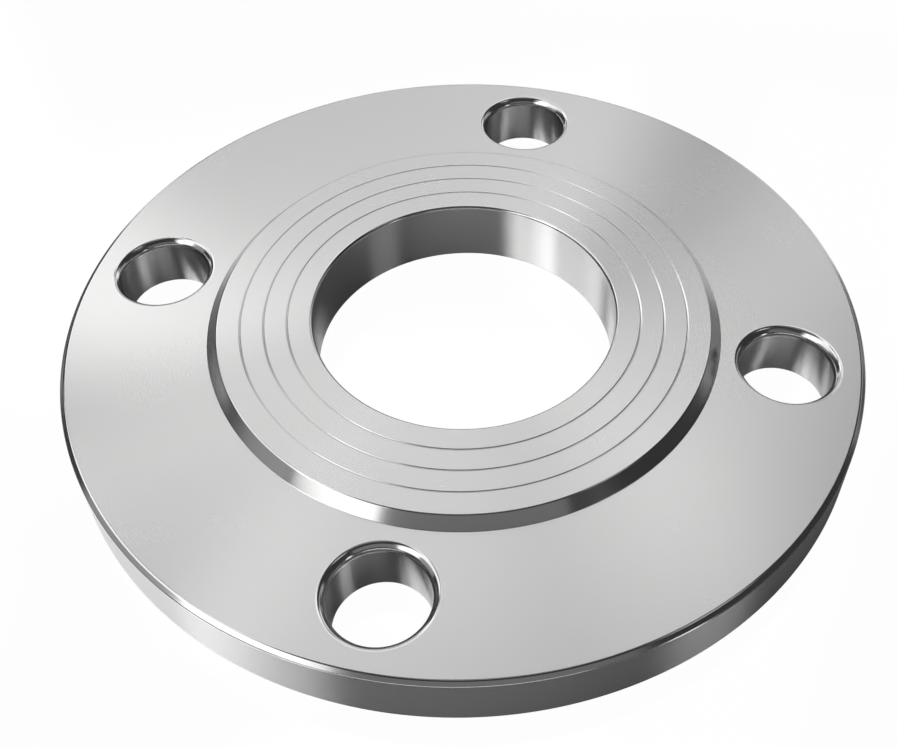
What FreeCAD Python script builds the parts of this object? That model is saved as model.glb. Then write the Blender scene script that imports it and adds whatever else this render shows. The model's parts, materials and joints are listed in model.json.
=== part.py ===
import FreeCAD, Part
import os
import Sketcher

# A flat slip-on flange for a 60.3 mm pipe, turned and drilled from one blank.
# Its frame is the centre of the bore on the back face, with +Z out through the raised face.

SHEET = "Dimensions"

# Lengths and diameters are in millimetres.
DIMENSIONS = [
    ("outer_diameter", 160.0, "over the rim"),
    ("plate_thickness", 12.0, "back face to front face, outside the raised face"),
    ("bore_diameter", 61.1, "slips over a pipe of 60.3"),
    ("raised_face_height", 2.3, "of the sealing face over the front face"),
    ("shoulder_run", 2.05, "how far the raised face's cone spreads down to its foot"),
    ("shoulder_to_hole", 3.25, "flat land between the shoulder's foot and the bolt holes' chamfers"),
    ("line_count", 3, "sealing lines, which divide the raised face into bands of one width"),
    ("line_width", 0.45, "of a sealing line at the face"),
    ("line_depth", 0.22, "of a sealing line at its point"),
    ("rim_to_hole_centre", 15.0, "from the rim in to the bolt holes' centres"),
    ("bolt_hole_count", 4, "bolt holes, which straddle the flange's centre lines"),
    ("bolt_hole_diameter", 18.0, "for M16 bolts"),
    ("bolt_hole_chamfer", 1.1, "of the bolt holes at the front face"),
    ("rim_chamfer_run", 0.9, "of the rim's front edge, along the radius"),
    ("rim_chamfer_drop", 0.7, "of the rim's front edge, down the rim"),
    ("edge_break", 0.4, "of the other edges: the bore's two, the rim's and the bolt holes' back edges"),
]

# Radii and heights worked out from the sheet, as formulas
RIM = f"{SHEET}.outer_diameter / 2"
BORE = f"{SHEET}.bore_diameter / 2"
BOLT_CIRCLE = f"({RIM} - {SHEET}.rim_to_hole_centre)"
HOLE_EDGE = f"({SHEET}.bolt_hole_diameter / 2 + {SHEET}.bolt_hole_chamfer)"
SHOULDER_FOOT = f"({BOLT_CIRCLE} - {HOLE_EDGE} - {SHEET}.shoulder_to_hole)"
FACE_OUTSIDE = f"({SHOULDER_FOOT} - {SHEET}.shoulder_run)"
FACE_INSIDE = f"({BORE} + {SHEET}.edge_break)"
BAND_WIDTH = f"({FACE_OUTSIDE} - {FACE_INSIDE}) / ({SHEET}.line_count + 1)"
FRONT = f"{SHEET}.plate_thickness"
TOP = f"{FRONT} + {SHEET}.raised_face_height"
ON_BACK = "0"


def dimension_sheet(doc):
    """One row for each driving dimension: its name, its value and what it measures."""
    sheet = doc.addObject("Spreadsheet::Sheet", SHEET)
    for row, (name, value, meaning) in enumerate(DIMENSIONS, start=1):
        sheet.set(f"A{row}", name)
        sheet.set(f"B{row}", str(value))
        sheet.setAlias(f"B{row}", name)
        sheet.set(f"C{row}", meaning)
    doc.recompute()
    return sheet


def sketch_on(body, role, name):
    """An empty sketch on one of the body's own origin planes."""
    plane = next(item for item in body.Origin.OriginFeatures if item.Role == role)
    sketch = body.newObject("Sketcher::SketchObject", name)
    sketch.AttachmentSupport = [(plane, "")]
    sketch.MapMode = "FlatFace"
    return sketch


def dimension(sketch, name, formula, *constraint):
    """A named constraint that takes its value from a formula."""
    index = sketch.addConstraint(Sketcher.Constraint(*constraint, 1.0))
    sketch.renameConstraint(index, name)
    sketch.setExpression(f"Constraints.{name}", formula)


def closed_outline(sketch, corners):
    """Straight lines from corner to corner and back to the first. A corner is a name and the
    formulas of its radius and its height, measured from the sketch's origin."""
    first = sketch.GeometryCount
    for index in range(len(corners)):
        start, end = FreeCAD.Vector(index + 1, 0, 0), FreeCAD.Vector(index + 2, 1, 0)
        sketch.addGeometry(Part.LineSegment(start, end))
    for index, (name, radius, height) in enumerate(corners):
        line = first + index
        following = first + (index + 1) % len(corners)
        sketch.addConstraint(Sketcher.Constraint("Coincident", line, 2, following, 1))
        dimension(sketch, f"{name}_radius", radius, "DistanceX", -1, 1, line, 1)
        if height == ON_BACK:
            sketch.addConstraint(Sketcher.Constraint("PointOnObject", line, 1, -1))
        else:
            dimension(sketch, f"{name}_height", height, "DistanceY", -1, 1, line, 1)


def full_turn(body, kind, sketch, name):
    """The sketch turned about the flange's axis, added or cut away."""
    feature = body.newObject(kind, name)
    feature.Profile = sketch
    feature.ReferenceAxis = (sketch, ["V_Axis"])
    feature.Angle = 360
    return feature


def turned_blank(body):
    """The disc with its raised face, its bore and the rim's two chamfers."""
    section = sketch_on(body, "XZ_Plane", "Section")
    closed_outline(section, [
        ("bore_back", BORE, ON_BACK),
        ("back_edge", f"{RIM} - {SHEET}.edge_break", ON_BACK),
        ("rim_back", RIM, f"{SHEET}.edge_break"),
        ("rim_front", RIM, f"{FRONT} - {SHEET}.rim_chamfer_drop"),
        ("front_edge", f"{RIM} - {SHEET}.rim_chamfer_run", FRONT),
        ("shoulder_foot", SHOULDER_FOOT, FRONT),
        ("shoulder_top", FACE_OUTSIDE, TOP),
        ("bore_front", BORE, TOP),
    ])
    return full_turn(body, "PartDesign::Revolution", section, "Blank")


def sealing_lines(body, count):
    """Shallow V-shaped lines round the raised face, one band's width apart."""
    section = sketch_on(body, "XZ_Plane", "LineSection")
    for index in range(1, count + 1):
        middle = f"{FACE_INSIDE} + {index} * {BAND_WIDTH}"
        closed_outline(section, [
            (f"line_{index}_point", middle, f"{TOP} - {SHEET}.line_depth"),
            (f"line_{index}_outside", f"{middle} + {SHEET}.line_width / 2", TOP),
            (f"line_{index}_inside", f"{middle} - {SHEET}.line_width / 2", TOP),
        ])
    return full_turn(body, "PartDesign::Groove", section, "SealingLines")


def bolt_holes(body):
    """One hole drilled from the back face, half a pitch round from the X axis, and its copies."""
    layout = sketch_on(body, "XY_Plane", "BoltHoleLayout")
    spoke = layout.addGeometry(Part.LineSegment(FreeCAD.Vector(0, 0, 0), FreeCAD.Vector(1, 1, 0)))
    layout.setConstruction(spoke, True)
    hole = layout.addGeometry(Part.Circle(FreeCAD.Vector(1, 1, 0), FreeCAD.Vector(0, 0, 1), 1))
    layout.addConstraint(Sketcher.Constraint("Coincident", spoke, 1, -1, 1))
    layout.addConstraint(Sketcher.Constraint("Coincident", hole, 3, spoke, 2))
    dimension(layout, "bolt_circle_radius", BOLT_CIRCLE, "Distance", spoke)
    dimension(layout, "half_pitch", f"180 deg / {SHEET}.bolt_hole_count", "Angle", -1, 1, spoke, 1)
    dimension(layout, "hole_diameter", f"{SHEET}.bolt_hole_diameter", "Diameter", hole)

    drilled = body.newObject("PartDesign::Pocket", "BoltHole")
    drilled.Profile = layout
    drilled.Type = "ThroughAll"
    drilled.Reversed = True  # up through the plate, from the back face

    ring = body.newObject("PartDesign::PolarPattern", "BoltHoles")
    ring.Originals = [drilled]
    ring.Axis = (layout, ["N_Axis"])
    ring.Angle = 360
    ring.setExpression("Occurrences", f"{SHEET}.bolt_hole_count")
    body.Tip = ring
    return ring


def round_edges(shape, diameter, height):
    """The names of the full circles of this diameter that lie at this height."""
    names = []
    for number, edge in enumerate(shape.Edges, start=1):
        if not isinstance(edge.Curve, Part.Circle):
            continue
        same_size = abs(2 * edge.Curve.Radius - diameter) < 1e-4
        if same_size and abs(edge.Curve.Center.z - height) < 1e-4:
            names.append(f"Edge{number}")
    return names


def chamfer(body, before, edges, size, name):
    """A chamfer of 45 degrees on edges of the feature before it."""
    feature = body.newObject("PartDesign::Chamfer", name)
    feature.Base = (before, edges)
    feature.setExpression("Size", f"{SHEET}.{size}")
    return feature


def flange(doc, sheet):
    """The whole flange, cut in the order in which it is machined."""
    body = doc.addObject("PartDesign::Body", "flange")
    body.Label = "flange"
    body.Placement = FreeCAD.Placement()
    turned_blank(body)
    sealing_lines(body, int(sheet.line_count))
    ring = bolt_holes(body)
    doc.recompute()

    front = sheet.plate_thickness
    top = front + sheet.raised_face_height
    hole_fronts = round_edges(ring.Shape, sheet.bolt_hole_diameter, front)
    hole_chamfers = chamfer(body, ring, hole_fronts, "bolt_hole_chamfer", "BoltHoleChamfers")
    doc.recompute()

    drilled = hole_chamfers.Shape
    broken_edges = (
        round_edges(drilled, sheet.bolt_hole_diameter, 0)
        + round_edges(drilled, sheet.bore_diameter, 0)
        + round_edges(drilled, sheet.bore_diameter, top)
    )
    chamfer(body, hole_chamfers, broken_edges, "edge_break", "EdgeBreaks")
    doc.recompute()
    return body


def check(doc, bodies):
    """Stops on a failed feature, or on a body that isn't one valid solid."""
    for item in doc.Objects:
        if "Invalid" in item.State or "Error" in item.State:
            raise RuntimeError(f"{item.Label} failed: {item.State}")
    for body in bodies:
        shape = body.Shape
        if shape.isNull() or not shape.isValid() or len(shape.Solids) != 1:
            raise RuntimeError(f"{body.Label} isn't one valid solid")


os.makedirs("parts", exist_ok=True)
doc = FreeCAD.newDocument("slip_on_flange")
sheet = dimension_sheet(doc)
bodies = [flange(doc, sheet)]
check(doc, bodies)
for body in bodies:
    body.Shape.exportStep(f"parts/{body.Label}.step")
    box = body.Shape.BoundBox
    print(f"{body.Label}: {box.XLength:.2f} x {box.YLength:.2f} x {box.ZLength:.2f} mm,"
          f" {body.Shape.Volume / 1000:.2f} cm3, {len(body.Shape.Faces)} faces")
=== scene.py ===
import json
import math

import bpy
import numpy as np
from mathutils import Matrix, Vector


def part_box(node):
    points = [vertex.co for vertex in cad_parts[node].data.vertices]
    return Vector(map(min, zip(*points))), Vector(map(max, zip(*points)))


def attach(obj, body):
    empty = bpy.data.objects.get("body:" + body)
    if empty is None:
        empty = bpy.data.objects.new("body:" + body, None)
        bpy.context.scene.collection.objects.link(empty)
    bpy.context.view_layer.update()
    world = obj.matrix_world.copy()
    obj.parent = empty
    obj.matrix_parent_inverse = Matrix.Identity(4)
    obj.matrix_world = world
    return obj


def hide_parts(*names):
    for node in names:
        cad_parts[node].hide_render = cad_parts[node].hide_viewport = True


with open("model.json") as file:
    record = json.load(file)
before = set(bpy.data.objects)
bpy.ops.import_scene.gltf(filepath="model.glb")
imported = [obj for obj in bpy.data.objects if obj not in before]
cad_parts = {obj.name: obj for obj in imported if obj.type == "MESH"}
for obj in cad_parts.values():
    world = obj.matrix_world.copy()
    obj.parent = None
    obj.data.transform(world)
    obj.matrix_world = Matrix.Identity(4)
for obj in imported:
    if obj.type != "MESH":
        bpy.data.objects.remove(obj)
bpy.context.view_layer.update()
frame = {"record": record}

# A slip-on flange: one steel disc, turned on its faces and drilled for four bolts.
# Everything is in metres in the frame's own axes, with +Z out through the raised face.
mm = 0.001
scene = bpy.context.scene
mounts = {mount["name"]: mount for mount in frame["record"]["mounts"]}
print("frame loaded")

# The flange, in millimetres. Its overall size, bore and bolt holes come from the frame.
flangeSizes = {
    "plateThickness": 12.0,
    "shoulderRun": 2.05,     # how far the raised face's cone spreads down to its foot
    "shoulderToHole": 3.25,  # flat land between the cone's foot and the bolt holes' chamfers
    "lineCount": 3,          # sealing lines round the raised face
    "lineWidth": 0.45,       # of a line at the face
    "lineDepth": 0.13,       # and at its deepest point
    "linePoint": 0.12,       # from a line's inner edge out to that point
    "holeChamfer": 1.1,      # of the bolt holes at the front
    "rimChamferRun": 0.9,    # of the rim's front edge, along the radius
    "rimChamferDrop": 0.7,   # and down the rim
    "edgeBreak": 0.4,        # the small chamfers of all the other edges
    "cornerReach": 0.11,     # how far a corner's rounding runs along its two sides
    "frontReach": 0.25,      # the same where the front's edges are softer: shoulder, rim and bore
    "holeReach": 0.45,       # round the bolt holes' mouths, at the face
    "mouthReach": 0.75,      # and where the mouths' chamfers meet the walls
    "lineReach": 0.07,       # and at the corners of a sealing line
    "cornerSteps": 4,        # faces round each corner
    "landWidth": 0.5,        # strip of a flat face that is made with the edge beside it
    "sectorSteps": 72,       # faces along one bolt hole's share of the rim
    "sideSteps": 12,         # faces from the shoulder out to the rim
    "ringSteps": 6,          # faces from a bolt hole out to the edge of its share
}


def roundedPath(corners, reach):
    # An open path in radius and height, whose inner corners become arcs, all with one reach or each with
    # its own. An arc starts one reach before its corner, its radius is the reach over the tangent of half
    # the turn, and a point on it is the start plus that radius times the path's left normal at the start,
    # less the same radius times the left normal at the point. The solid lies on the path's right.
    corners = np.array(corners, float)
    sides = np.diff(corners, axis=0)
    headings = np.arctan2(sides[:, 1], sides[:, 0])
    turns = (np.diff(headings) + np.pi) % (2 * np.pi) - np.pi
    angles = headings[:-1, None] + turns[:, None] * np.linspace(0, 1, flangeSizes["cornerSteps"] + 1)
    leftNormals = np.stack([-np.sin(angles), np.cos(angles)], axis=2)
    directions = np.stack([np.cos(headings[:-1]), np.sin(headings[:-1])], axis=1)
    reaches = np.broadcast_to(reach, turns.shape)
    starts = corners[1:-1] - reaches[:, None] * directions
    radii = reaches / np.tan(turns / 2)
    arcs = starts[:, None] + radii[:, None, None] * (leftNormals[:, :1] - leftNormals)
    points = np.concatenate([corners[:1], arcs.reshape(-1, 2), corners[-1:]])
    endNormals = np.stack([-np.sin(headings[[0, -1]]), np.cos(headings[[0, -1]])], axis=1)
    normals = np.concatenate([endNormals[:1], leftNormals.reshape(-1, 2), endNormals[1:]])
    return points, normals


def closedGrid(points, normals, rowFinishes):
    # A patch whose rows close on themselves: each quad joins two neighbours of one row to the two beside
    # them in the next row, and has its own row's finish
    rows, columns = points.shape[:2]
    index = np.arange(rows * columns).reshape(rows, columns)
    following = np.roll(index, -1, axis=1)
    quads = np.stack([index[:-1], following[:-1], following[1:], index[1:]], axis=2)
    return {
        "points": points.reshape(-1, 3),
        "normals": normals.reshape(-1, 3),
        "quads": quads.reshape(-1, 4),
        "finishes": np.repeat(rowFinishes, columns),
    }


def turnedWall(path, centre, angles, wallFinish, slopeFinish):
    # The path turned about an upright axis through the centre: radius times cosine, radius times sine,
    # height. A row between two upright normals is flat, one between two level normals is a wall, and the
    # rest slope.
    points, normals = path
    cosines, sines = np.cos(angles), np.sin(angles)
    heights = np.ones_like(angles)
    places, facings = [
        np.stack([pair[:, :1] * cosines, pair[:, :1] * sines, pair[:, 1:] * heights], axis=2)
        for pair in (points, normals)
    ]
    places[..., :2] += centre
    uprightness = np.abs(normals[:-1, 1] + normals[1:, 1]) / 2
    leeway = 0.001  # what a flat row may lack of 1, and a wall may have over 0
    isFlat, isWall = uprightness > 1 - leeway, uprightness < leeway
    rowFinishes = np.select([isFlat, isWall], [faceFinish, wallFinish], slopeFinish)
    return closedGrid(places, facings, rowFinishes)


def drilledShare(radii, height, facing, holeAngle, edgeRadius):
    # One bolt hole's share of a flat face, in angle and radius about the flange's axis. The first row is
    # the hole's circle and the last runs round the share's outline, and the rows between are their
    # weighted means.
    alongRim, alongSide = flangeSizes["sectorSteps"], flangeSizes["sideSteps"]
    halfShare = math.pi / boltCount
    inside, outside = radii
    outlineAngles = np.concatenate([
        np.linspace(-halfShare, halfShare, alongRim, endpoint=False),
        np.full(alongSide, halfShare),
        np.linspace(halfShare, -halfShare, alongRim, endpoint=False),
        np.full(alongSide, -halfShare),
    ])
    outlineRadii = np.concatenate([
        np.full(alongRim, outside),
        np.linspace(outside, inside, alongSide, endpoint=False),
        np.full(alongRim, inside),
        np.linspace(inside, outside, alongSide, endpoint=False),
    ])
    across = pitchRadius + edgeRadius * np.cos(holeTurns)
    aside = edgeRadius * np.sin(holeTurns)
    weights = np.linspace(0, 1, flangeSizes["ringSteps"] + 1)[:, None]
    angles = holeAngle + (1 - weights) * np.arctan2(aside, across) + weights * outlineAngles
    distances = (1 - weights) * np.hypot(across, aside) + weights * outlineRadii
    points = np.stack([
        distances * np.cos(angles),
        distances * np.sin(angles),
        np.full_like(angles, height),
    ], axis=2)
    normals = np.broadcast_to([0.0, 0.0, facing], points.shape)
    return closedGrid(points, normals, [faceFinish] * flangeSizes["ringSteps"])


def weldedPiece(name, patches, materials):
    # The patches as one closed mesh. Points that round to the same thousandth of a millimetre become one,
    # and a quad whose winding points against its own normals is turned round.
    starts = np.cumsum([0] + [len(patch["points"]) for patch in patches[:-1]])
    points = np.concatenate([patch["points"] for patch in patches])
    normals = np.concatenate([patch["normals"] for patch in patches])
    quads = np.concatenate([patch["quads"] + start for patch, start in zip(patches, starts)])
    finishes = np.concatenate([patch["finishes"] for patch in patches])
    weldsPerMillimetre = 1000
    weld = np.round(points * weldsPerMillimetre).astype(np.int64)
    kept, joined = np.unique(weld, axis=0, return_index=True, return_inverse=True)[1:]
    points, normals, quads = points[kept] * mm, normals[kept], joined.reshape(-1)[quads]
    corners = points[quads]
    windings = np.cross(corners[:, 2] - corners[:, 0], corners[:, 3] - corners[:, 1])
    inward = (windings * normals[quads].sum(axis=1)).sum(axis=1) < 0
    quads[inward] = quads[inward, ::-1]

    mesh = bpy.data.meshes.new(name)
    mesh.from_pydata(points.tolist(), [], quads.tolist())
    for material in materials:
        mesh.materials.append(material)
    mesh.polygons.foreach_set("material_index", finishes.astype(np.int32))
    mesh.polygons.foreach_set("use_smooth", np.ones(len(quads), bool))
    mesh.normals_split_custom_set_from_vertices(normals.tolist())
    piece = bpy.data.objects.new(name, mesh)
    scene.collection.objects.link(piece)
    return piece


# Radii and heights of the section, from the frame's sizes inwards
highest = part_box("flange")[1]
rimRadius, topHeight = highest.x / mm, highest.z / mm
boreRadius = mounts["bore"]["dims"]["r_mm"]
pitchRadius = mounts["bolt_holes"]["dims"]["pcd_mm"] / 2
holeRadius = mounts["bolt_holes"]["dims"]["hole_r_mm"]
boltCount = mounts["bolt_holes"]["dims"]["count"]

land, edgeBreak = flangeSizes["landWidth"], flangeSizes["edgeBreak"]
faceHeight = flangeSizes["plateThickness"]
holeEdge = holeRadius + flangeSizes["holeChamfer"]
shoulderFoot = pitchRadius - holeEdge - flangeSizes["shoulderToHole"]
shoulderTop = shoulderFoot - flangeSizes["shoulderRun"]
boreEdge = boreRadius + edgeBreak
frontEdge = rimRadius - flangeSizes["rimChamferRun"]
backEdge = rimRadius - edgeBreak
bandWidth = (shoulderTop - boreEdge) / (flangeSizes["lineCount"] + 1)

finishNames = ["face", "edge", "rim", "bore", "hole", "line"]
faceFinish, edgeFinish, rimFinish, boreFinish, holeFinish, lineFinish = range(len(finishNames))
rimSteps = boltCount * flangeSizes["sectorSteps"]
rimTurns = np.arange(rimSteps) * 2 * np.pi / rimSteps
holeSteps = 2 * (flangeSizes["sectorSteps"] + flangeSizes["sideSteps"])
holeTurns = (np.arange(holeSteps) - flangeSizes["sectorSteps"] / 2) * 2 * np.pi / holeSteps


def flangePatches():
    # The bore, the raised face with its lines, the shoulder and the rim are turned about the flange's own
    # axis. Both flat faces are shared out among the bolt holes, whose walls are turned about theirs. The
    # lines stand one band's width apart.
    plain, front = flangeSizes["cornerReach"], flangeSizes["frontReach"]

    def onAxis(corners, wallFinish=faceFinish, slopeFinish=edgeFinish, reach=plain):
        return turnedWall(roundedPath(corners, reach), (0, 0), rimTurns, wallFinish, slopeFinish)

    lines = boreEdge + bandWidth * np.arange(1, flangeSizes["lineCount"] + 1)
    halfLine = flangeSizes["lineWidth"] / 2
    linePoint = flangeSizes["linePoint"] - halfLine
    patches = [
        onAxis([
            (boreEdge + land, 0),
            (boreEdge, 0),
            (boreRadius, edgeBreak),
            (boreRadius, topHeight - edgeBreak),
            (boreEdge, topHeight),
            (boreEdge + land, topHeight),
        ], boreFinish, reach=[plain, plain, front, front]),
        onAxis([
            (shoulderTop - land, topHeight),
            (shoulderTop, topHeight),
            (shoulderFoot, faceHeight),
            (shoulderFoot + land, faceHeight),
        ], reach=[front, plain]),
        onAxis([
            (frontEdge - land, faceHeight),
            (frontEdge, faceHeight),
            (rimRadius, faceHeight - flangeSizes["rimChamferDrop"]),
            (rimRadius, edgeBreak),
            (backEdge, 0),
            (backEdge - land, 0),
        ], rimFinish, reach=[front, front, plain, plain]),
    ]
    starts = [boreEdge + land, *(lines + halfLine + land)]
    ends = [*(lines - halfLine - land), shoulderTop - land]
    for start, end in zip(starts, ends):
        patches.append(onAxis([(start, topHeight), (end, topHeight)]))
    for line in lines:
        patches.append(onAxis([
            (line - halfLine - land, topHeight),
            (line - halfLine, topHeight),
            (line + linePoint, topHeight - flangeSizes["lineDepth"]),
            (line + halfLine, topHeight),
            (line + halfLine + land, topHeight),
        ], slopeFinish=lineFinish, reach=flangeSizes["lineReach"]))

    holeWall = roundedPath([
        (holeRadius + edgeBreak + land, 0),
        (holeRadius + edgeBreak, 0),
        (holeRadius, edgeBreak),
        (holeRadius, faceHeight - flangeSizes["holeChamfer"]),
        (holeEdge, faceHeight),
        (holeEdge + land, faceHeight),
    ], [plain, plain, flangeSizes["mouthReach"], flangeSizes["holeReach"]])
    frontFace = (shoulderFoot + land, frontEdge - land), faceHeight, 1
    backFace = (boreEdge + land, backEdge - land), 0, -1
    for index in range(boltCount):
        angle = (index + 0.5) * 2 * math.pi / boltCount
        centre = pitchRadius * np.array([math.cos(angle), math.sin(angle)])
        patches.append(turnedWall(holeWall, centre, angle + holeTurns, holeFinish, edgeFinish))
        patches.append(drilledShare(*frontFace, angle, holeEdge + land))
        patches.append(drilledShare(*backFace, angle, holeRadius + edgeBreak + land))
    return patches


def placedNode(tree, kind, inputs, **settings):
    # A node whose inputs, by name or number, are linked from a socket or set to a value
    node = tree.nodes.new(kind)
    for name, value in settings.items():
        setattr(node, name, value)
    for name, value in inputs.items():
        if isinstance(value, bpy.types.NodeSocket):
            tree.links.new(value, node.inputs[name])
        else:
            node.inputs[name].default_value = value
    return node


def calculated(tree, operation, *values):
    # One arithmetic step on values or sockets
    node = placedNode(tree, "ShaderNodeMath", dict(enumerate(values)), operation=operation)
    return node.outputs["Value"]


def newGroup(name, inputs, outputs):
    # An empty shader group. Inputs are names with their default values, and outputs are names.
    group = bpy.data.node_groups.new(name, "ShaderNodeTree")
    for title, value in inputs.items():
        kind = "NodeSocketFloat" if isinstance(value, float) else "NodeSocketVector"
        socket = group.interface.new_socket(title, in_out="INPUT", socket_type=kind)
        socket.default_value = value
    for title in outputs:
        group.interface.new_socket(title, in_out="OUTPUT", socket_type="NodeSocketFloat")
    return group, group.nodes.new("NodeGroupInput").outputs, group.nodes.new("NodeGroupOutput")


def toolMarksGroup():
    # Marks that a tool leaves side by side: noise along one line, at the marks' pitch, and the same at the
    # pitch of broader bands. The line wavers a little from place to place, so no mark runs quite true.
    inputs = {"Place": (0.0, 0.0, 0.0), "Across": 0.0, "Pitch": 0.3, "Band": 3.0}
    group, given, result = newGroup("toolMarks", inputs, ["Marks", "Bands"])
    waver = placedNode(
        group, "ShaderNodeTexNoise",
        {"Vector": given["Place"], "Scale": finishDetail["waverScale"], "Detail": 2.0})
    shift = calculated(group, "MULTIPLY", waver.outputs["Fac"], finishDetail["waver"])
    wavered = calculated(group, "ADD", given["Across"], shift)
    for title, spacing in (("Marks", "Pitch"), ("Bands", "Band")):
        position = calculated(group, "DIVIDE", wavered, given[spacing])
        noise = placedNode(
            group, "ShaderNodeTexNoise", {"W": position, "Scale": 1.0, "Detail": 3.0, "Roughness": 0.6},
            noise_dimensions="1D")
        group.links.new(noise.outputs["Fac"], result.inputs[title])
    return group


def handlingGroup():
    # Faint clouds where the steel was wiped and held: broad noise with finer noise in it, spread out to run
    # from 0 to 1
    group, given, result = newGroup("handling", {"Place": (0.0, 0.0, 0.0), "Size": 30.0}, ["Clouds"])
    scale = calculated(group, "DIVIDE", 1 / mm, given["Size"])
    weakest, strongest = finishDetail["cloudRange"]
    noise = placedNode(
        group, "ShaderNodeTexNoise",
        {"Vector": given["Place"], "Scale": scale, "Detail": 4.0, "Roughness": 0.55, "Distortion": 0.6})
    spread = placedNode(
        group, "ShaderNodeMapRange",
        {"Value": noise.outputs["Fac"], "From Min": weakest, "From Max": strongest})
    group.links.new(spread.outputs["Result"], result.inputs["Clouds"])
    return group


# What each surface was left like by its tool: pitch and band space the marks, in millimetres, and stretch
# draws reflections out across them.
finishes = {
    "face": {"tone": 0.62, "roughness": 0.27, "stretch": 0.85, "pitch": 0.35, "band": 4.0},
    "edge": {"tone": 0.62, "roughness": 0.16, "stretch": 0.30, "pitch": 0.30, "band": 2.0},
    "rim": {"tone": 0.62, "roughness": 0.33, "stretch": 0.85, "pitch": 0.25, "band": 2.0},
    "bore": {"tone": 0.62, "roughness": 0.28, "stretch": 0.80, "pitch": 0.25, "band": 2.0},
    "hole": {"tone": 0.62, "roughness": 0.28, "stretch": 0.80, "pitch": 0.25, "band": 2.0},
    "line": {"tone": 0.62, "roughness": 0.20, "stretch": 0.30, "pitch": 0.30, "band": 2.0},
}
finishDetail = {
    "warmth": (1.0, 0.998, 0.994),  # share of the tone in red, green and blue
    "markShade": 0.008,             # how much the marks, bands and clouds change the tone
    "bandShade": 0.008,
    "cloudShade": 0.015,
    "markRoughness": 0.004,         # how much marks and clouds change the roughness
    "cloudRoughness": 0.01,
    "cloudSize": 30.0,              # millimetres
    "cloudRange": (0.3, 0.7),       # where in its noise a cloud starts, and where it is full
    "markHeight": 0.00015,          # millimetres
    "waver": 0.4,                   # how far a mark strays, in millimetres
    "waverScale": 60.0,             # and how often, for each metre
}


def varied(tree, middle, swings):
    # The middle value plus, for each noise, its distance from one half times its swing
    total = middle - sum(swing for noise, swing in swings) / 2
    for noise, swing in swings:
        total = calculated(tree, "MULTIPLY_ADD", noise, swing, total)
    return total


def steelFinish(name, toolMarks, handling):
    # On a flat face the marks follow the radius about the flange's axis, and elsewhere the height, and the
    # tangent crosses them. Marks, bands and clouds vary the tone, marks and clouds the roughness, and the
    # marks alone make the bump.
    values, detail = finishes[name], finishDetail
    material = bpy.data.materials.new(name + "Steel")
    material.use_nodes = True
    tree = material.node_tree
    shader = tree.nodes["Principled BSDF"]
    place = tree.nodes.new("ShaderNodeTexCoord").outputs["Object"]
    direction = (1.0, 1.0, 0.0) if name == "face" else (0.0, 0.0, 1.0)
    outwards = placedNode(tree, "ShaderNodeVectorMath", {0: place, 1: direction}, operation="MULTIPLY")
    offset = outwards.outputs["Vector"]
    distance = placedNode(tree, "ShaderNodeVectorMath", {0: offset}, operation="LENGTH")
    tangent = placedNode(tree, "ShaderNodeVectorMath", {0: offset}, operation="NORMALIZE")

    tooled = placedNode(tree, "ShaderNodeGroup", {}, node_tree=toolMarks)
    tree.links.new(place, tooled.inputs["Place"])
    tree.links.new(calculated(tree, "DIVIDE", distance.outputs["Value"], mm), tooled.inputs["Across"])
    tooled.inputs["Pitch"].default_value = values["pitch"]
    tooled.inputs["Band"].default_value = values["band"]
    handled = placedNode(tree, "ShaderNodeGroup", {}, node_tree=handling)
    tree.links.new(place, handled.inputs["Place"])
    handled.inputs["Size"].default_value = detail["cloudSize"]
    marks, bands = tooled.outputs["Marks"], tooled.outputs["Bands"]
    clouds = handled.outputs["Clouds"]

    tone = tuple(values["tone"] * share for share in detail["warmth"])
    level = varied(tree, 1.0, [
        (marks, detail["markShade"]), (bands, detail["bandShade"]), (clouds, detail["cloudShade"])])
    colour = placedNode(tree, "ShaderNodeVectorMath", {0: tone, "Scale": level}, operation="SCALE")
    roughness = varied(tree, values["roughness"], [
        (marks, detail["markRoughness"]), (clouds, detail["cloudRoughness"])])
    bump = placedNode(tree, "ShaderNodeBump", {"Height": marks, "Distance": detail["markHeight"] * mm})
    tree.links.new(colour.outputs["Vector"], shader.inputs["Base Color"])
    tree.links.new(roughness, shader.inputs["Roughness"])
    tree.links.new(bump.outputs["Normal"], shader.inputs["Normal"])
    tree.links.new(tangent.outputs["Vector"], shader.inputs["Tangent"])
    shader.inputs["Metallic"].default_value = 1.0
    shader.inputs["Anisotropic"].default_value = values["stretch"]
    return material


groups = toolMarksGroup(), handlingGroup()
steels = [steelFinish(name, *groups) for name in finishNames]
flange = weldedPiece("turned_flange", flangePatches(), steels)
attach(flange, "root")
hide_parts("flange")
print("flange made", len(flange.data.polygons), "faces")

# Where the camera stands, and what it looks at. Angles are in degrees.
cameraSetup = {
    "imageSize": (897, 747),
    "principalPoint": (498.5, 327.5),  # where in the picture the lens looks straight at, in pixels
    "lens": 47.2,                      # millimetres, on the sensor's width below
    "sensorWidth": 36.0,
    "azimuth": -33.4,
    "elevation": 47.28,
    "distance": 236.9,                 # millimetres from the target
    "target": (3.94, -6.57, 12.0),     # millimetres, a point on the front face's height
    "nearest": 0.01,                   # metres, the closest thing that it draws
}


def towards(azimuth, elevation):
    # Unit vector from the flange to a place at that azimuth and elevation, with azimuth 0 on the -Y side
    across, up = math.radians(azimuth), math.radians(elevation)
    return Vector((math.sin(across) * math.cos(up), -math.cos(across) * math.cos(up), math.sin(up)))


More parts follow.
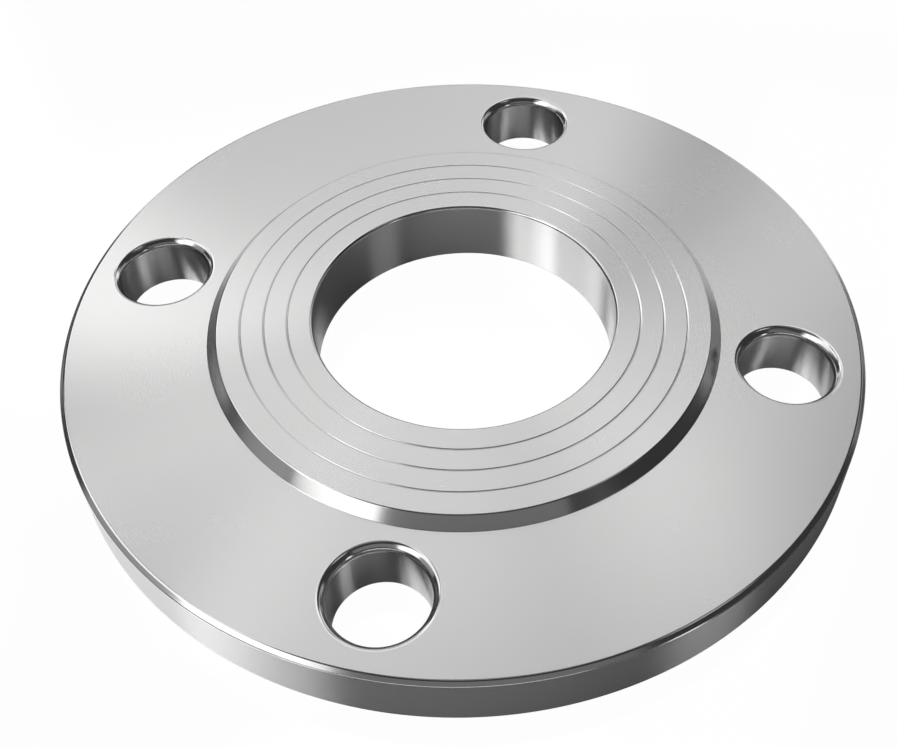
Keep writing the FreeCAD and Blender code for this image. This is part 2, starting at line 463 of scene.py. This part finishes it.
def makeCamera():
    # The lens looks from its place straight at the target, and the shifts put the target on its own pixel
    setup = cameraSetup
    camera = bpy.data.objects.new("camera", bpy.data.cameras.new("camera"))
    scene.collection.objects.link(camera)
    scene.camera = camera
    away = towards(setup["azimuth"], setup["elevation"])
    camera.location = (Vector(setup["target"]) + away * setup["distance"]) * mm
    camera.rotation_euler = away.to_track_quat("Z", "Y").to_euler()
    camera.data.lens = setup["lens"]
    camera.data.sensor_width = setup["sensorWidth"]
    camera.data.clip_start = setup["nearest"]
    width, height = setup["imageSize"]
    acrossPixel, downPixel = setup["principalPoint"]
    camera.data.shift_x = (width / 2 - acrossPixel) / width
    camera.data.shift_y = (downPixel - height / 2) / width


makeCamera()
print("camera set")

# Soft boxes round the flange. Azimuth and elevation say where a box stands, width and height how much it
# spans seen from the flange, all in degrees, and brightness is what it looks like in a mirror, where 1 is
# white.
lampDistance = 2.0  # metres
studioLamps = {
    "key": {"azimuth": -82, "elevation": 26, "width": 32, "height": 19, "brightness": 1.9},
    "keyTop": {"azimuth": -90, "elevation": 44, "width": 26, "height": 16, "brightness": 1.3},
    "keyCorner": {"azimuth": -72, "elevation": 40, "width": 11, "height": 9, "brightness": 1.5},
    "left": {"azimuth": -127, "elevation": 46, "width": 53, "height": 30, "brightness": 1.4},
    "leftLow": {"azimuth": -115, "elevation": 18, "width": 29, "height": 24, "brightness": 0.35},
    "leftBack": {"azimuth": -169, "elevation": 47, "width": 32, "height": 8, "brightness": 0.4},
    "overhead": {"azimuth": -174, "elevation": 71, "width": 35, "height": 10, "brightness": 1.1},
    "spot": {"azimuth": -156, "elevation": 65, "width": 7, "height": 8, "brightness": 3.0},
    "backEdge": {"azimuth": 178, "elevation": 23, "width": 8, "height": 46, "brightness": 0.9},
    "backMiddle": {"azimuth": 163, "elevation": 40, "width": 42, "height": 10, "brightness": 1.45},
    "backTop": {"azimuth": 150, "elevation": 55, "width": 32, "height": 16, "brightness": 1.25},
    "back": {"azimuth": 139, "elevation": 20, "width": 65, "height": 19, "brightness": 0.9},
    "backRight": {"azimuth": 123, "elevation": 54, "width": 11, "height": 42, "brightness": 0.8},
    "right": {"azimuth": 98, "elevation": 16, "width": 50, "height": 14, "brightness": 0.45},
    "rightTop": {"azimuth": 40, "elevation": 55, "width": 16, "height": 10, "brightness": 1.1},
    "low": {"azimuth": 15, "elevation": 7, "width": 9, "height": 14, "brightness": 2.0},
    "front": {"azimuth": -29, "elevation": 33, "width": 63, "height": 18, "brightness": 0.2},
    "frontFloor": {"azimuth": -40, "elevation": 5, "width": 66, "height": 8, "brightness": 1.2},
    "top": {"azimuth": 0, "elevation": 90, "width": 24, "height": 24, "brightness": 0.25},
}


def softBox(name, values):
    # A side is twice the distance times the tangent of half its span, and the power that gives a brightness
    # is the brightness times pi times the area
    away = towards(values["azimuth"], values["elevation"])
    lamp = bpy.data.lights.new(name, "AREA")
    lamp.shape = "RECTANGLE"
    lamp.size = 2 * lampDistance * math.tan(math.radians(values["width"] / 2))
    lamp.size_y = 2 * lampDistance * math.tan(math.radians(values["height"] / 2))
    lamp.energy = values["brightness"] * math.pi * lamp.size * lamp.size_y
    box = bpy.data.objects.new(name, lamp)
    scene.collection.objects.link(box)
    box.location = away * lampDistance
    box.rotation_euler = away.to_track_quat("Z", "Y").to_euler()


for name, values in studioLamps.items():
    softBox(name, values)
print("lamps set")

# The room: its walls are dim, and its floor is polished
roomSetup = {
    "wallLevel": 0.045,      # how bright the walls are to the flange, where 1 is white
    "floorTone": 0.95,
    "floorMetal": 0.85,      # how much the floor shines as metal does, from 0 to 1
    "floorRoughness": 0.1,
    "floorWhiteness": 0.98,  # share of plain white in the floor that the camera sees
    "farWhiteness": 0.5,     # the same in the floor that glossy rays see, well away from the flange
    "farStart": 300.0,       # millimetres from the flange's axis at which that share starts to come in
    "farEnd": 400.0,         # and at which all of it is in
    "floorSize": 6.0,        # metres, from its middle to a side
}


def whiteShare(tree, cameraShare, glossyShare):
    # How much of the background's plain white is seen: one share by camera and transmission rays, which look
    # straight at it, and another by glossy rays
    rays = tree.nodes.new("ShaderNodeLightPath").outputs
    looking = calculated(tree, "MAXIMUM", rays["Is Camera Ray"], rays["Is Transmission Ray"])
    straight = calculated(tree, "MULTIPLY", looking, cameraShare)
    return calculated(tree, "MULTIPLY_ADD", rays["Is Glossy Ray"], glossyShare, straight)


def makeRoom():
    # The walls are white to the camera and dim to the rest
    room = bpy.data.worlds.new("room")
    scene.world = room
    room.use_nodes = True
    tree = room.node_tree
    seen = placedNode(tree, "ShaderNodeMix", {
        "Factor": whiteShare(tree, 1.0, 0.0), "A": roomSetup["wallLevel"], "B": 1.0})
    tree.links.new(seen.outputs["Result"], tree.nodes["Background"].inputs["Strength"])
    tree.nodes["Background"].inputs["Color"].default_value = (1, 1, 1, 1)


def makeFloor():
    # Near the flange glossy rays see the polished floor as it is lit, with the flange and its shadow in it.
    # From farStart to farEnd their share of plain white rises smoothly from none to farWhiteness.
    side = roomSetup["floorSize"]
    mesh = bpy.data.meshes.new("floor")
    corners = [(-side, -side, 0), (side, -side, 0), (side, side, 0), (-side, side, 0)]
    mesh.from_pydata(corners, [], [(0, 1, 2, 3)])
    floor = bpy.data.objects.new("floor", mesh)
    scene.collection.objects.link(floor)
    material = bpy.data.materials.new("paleFloor")
    material.use_nodes = True
    tree = material.node_tree
    shader = tree.nodes["Principled BSDF"]
    tone = roomSetup["floorTone"]
    shader.inputs["Base Color"].default_value = (tone, tone, tone, 1)
    shader.inputs["Metallic"].default_value = roomSetup["floorMetal"]
    shader.inputs["Roughness"].default_value = roomSetup["floorRoughness"]
    shader.inputs["Specular IOR Level"].default_value = 0.0
    place = tree.nodes.new("ShaderNodeTexCoord").outputs["Object"]
    distance = placedNode(tree, "ShaderNodeVectorMath", {0: place}, operation="LENGTH")
    far = placedNode(tree, "ShaderNodeMapRange", {
        "Value": distance.outputs["Value"],
        "From Min": roomSetup["farStart"] * mm,
        "From Max": roomSetup["farEnd"] * mm,
        "To Max": roomSetup["farWhiteness"],
    }, interpolation_type="SMOOTHSTEP")
    share = whiteShare(tree, roomSetup["floorWhiteness"], far.outputs["Result"])
    white = tree.nodes.new("ShaderNodeEmission")
    mixed = placedNode(
        tree, "ShaderNodeMixShader", {0: share, 1: shader.outputs["BSDF"], 2: white.outputs["Emission"]})
    tree.links.new(mixed.outputs["Shader"], tree.nodes["Material Output"].inputs["Surface"])
    mesh.materials.append(material)


makeRoom()
makeFloor()
print("room and floor made")

scene.view_settings.view_transform = "Standard"
